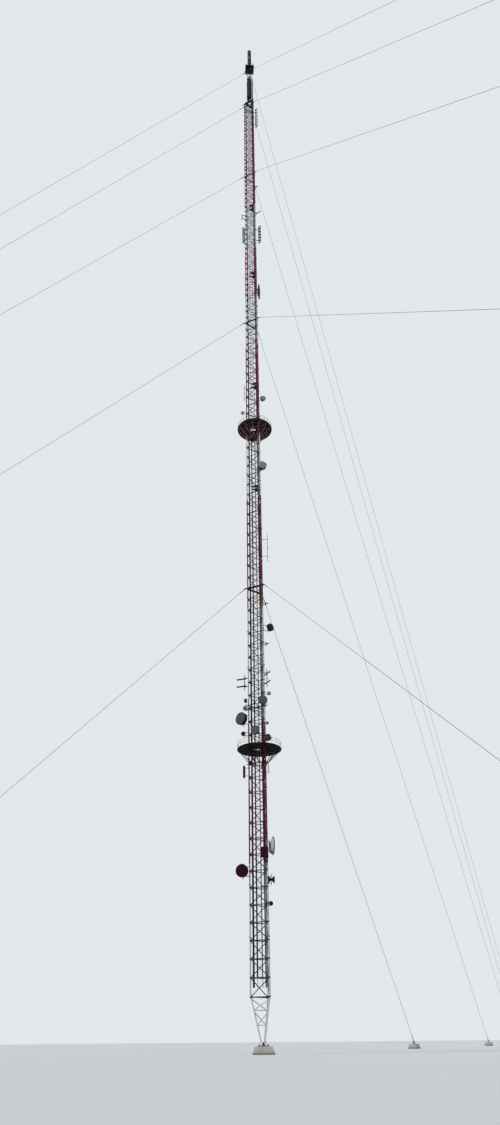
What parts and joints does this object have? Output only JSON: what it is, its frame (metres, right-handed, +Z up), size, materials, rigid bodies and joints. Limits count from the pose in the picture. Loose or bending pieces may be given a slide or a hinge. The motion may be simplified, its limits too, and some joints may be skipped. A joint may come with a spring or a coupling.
{
  "type": "guyed lattice radio mast, 1:10 scale model",
  "caption": "Tall three-sided lattice mast on a pivot foot, held by fanned guy ropes, with round work platforms, dish and dipole antennas and a slim top.",
  "frame": {"origin": "middle of the underside of the foundation plinth, on the mast's axis", "axes": "+Z up along the mast, -X towards the left guy, the other two guys at 60 degrees each side of +X"},
  "size_m": [33.6529, 38.859, 30.314],
  "materials": {
    "antenna": "weathered tube",
    "cable": "black cable jackets",
    "concrete": "cast concrete, matt",
    "dark_steel": "dark weathered steel",
    "drum": "grey painted shroud",
    "galvanised": "weathered galvanised steel",
    "paint": "red and white aviation bands",
    "panel": "grey cover",
    "rope": "galvanised wire rope",
    "shroud": "glass-fibre cover in bands"
  },
  "bodies": {
    "root": {"anchor_blocks_inner": "concrete", "anchor_blocks_middle": "concrete", "anchor_blocks_outer": "concrete", "anchor_fins": "galvanised", "base_plate": "galvanised", "base_spire": "paint", "dipoles_high": "antenna", "dipoles_low": "antenna", "dish_antennas": "drum", "drums_high": "drum", "drums_low": "drum", "drums_platform": "drum", "feeder_bundle_left": "cable", "feeder_bundle_right": "cable", "foundation_plinth": "concrete", "guy_collar_1": "galvanised", "guy_collar_2": "galvanised", "guy_collar_3": "galvanised", "guy_collar_4": "galvanised", "guy_collar_5": "galvanised", "guy_ropes_1": "rope", "guy_ropes_2": "rope", "guy_ropes_3": "rope", "guy_ropes_4": "rope", "guy_ropes_5": "rope", "ladder": "galvanised", "lattice_back_left_1": "paint", "lattice_back_left_2": "paint", "lattice_back_left_3": "paint", "lattice_back_left_4": "paint", "lattice_front_left_1": "paint", "lattice_front_left_2": "paint", "lattice_front_left_3": "paint", "lattice_front_left_4": "paint", "lattice_right_1": "paint", "lattice_right_2": "paint", "lattice_right_3": "paint", "lattice_right_4": "paint", "leg_back": "paint", "leg_front": "paint", "leg_left": "paint", "mount_ring": "dark_steel", "neck_frame": "galvanised", "panel_antennas": "panel", "panel_array": "panel", "pivot_bearing": "galvanised", "platform_1_deck": "dark_steel", "platform_1_railing": "dark_steel", "platform_1_struts": "dark_steel", "platform_2_deck": "dark_steel", "platform_2_railing": "dark_steel", "platform_2_struts": "dark_steel", "rest_floors": "dark_steel", "slim_legs": "paint", "slim_sides": "paint", "top_cylinder": "shroud", "top_platform_deck": "dark_steel", "top_platform_railing": "dark_steel"}
  },
  "joints": []
}
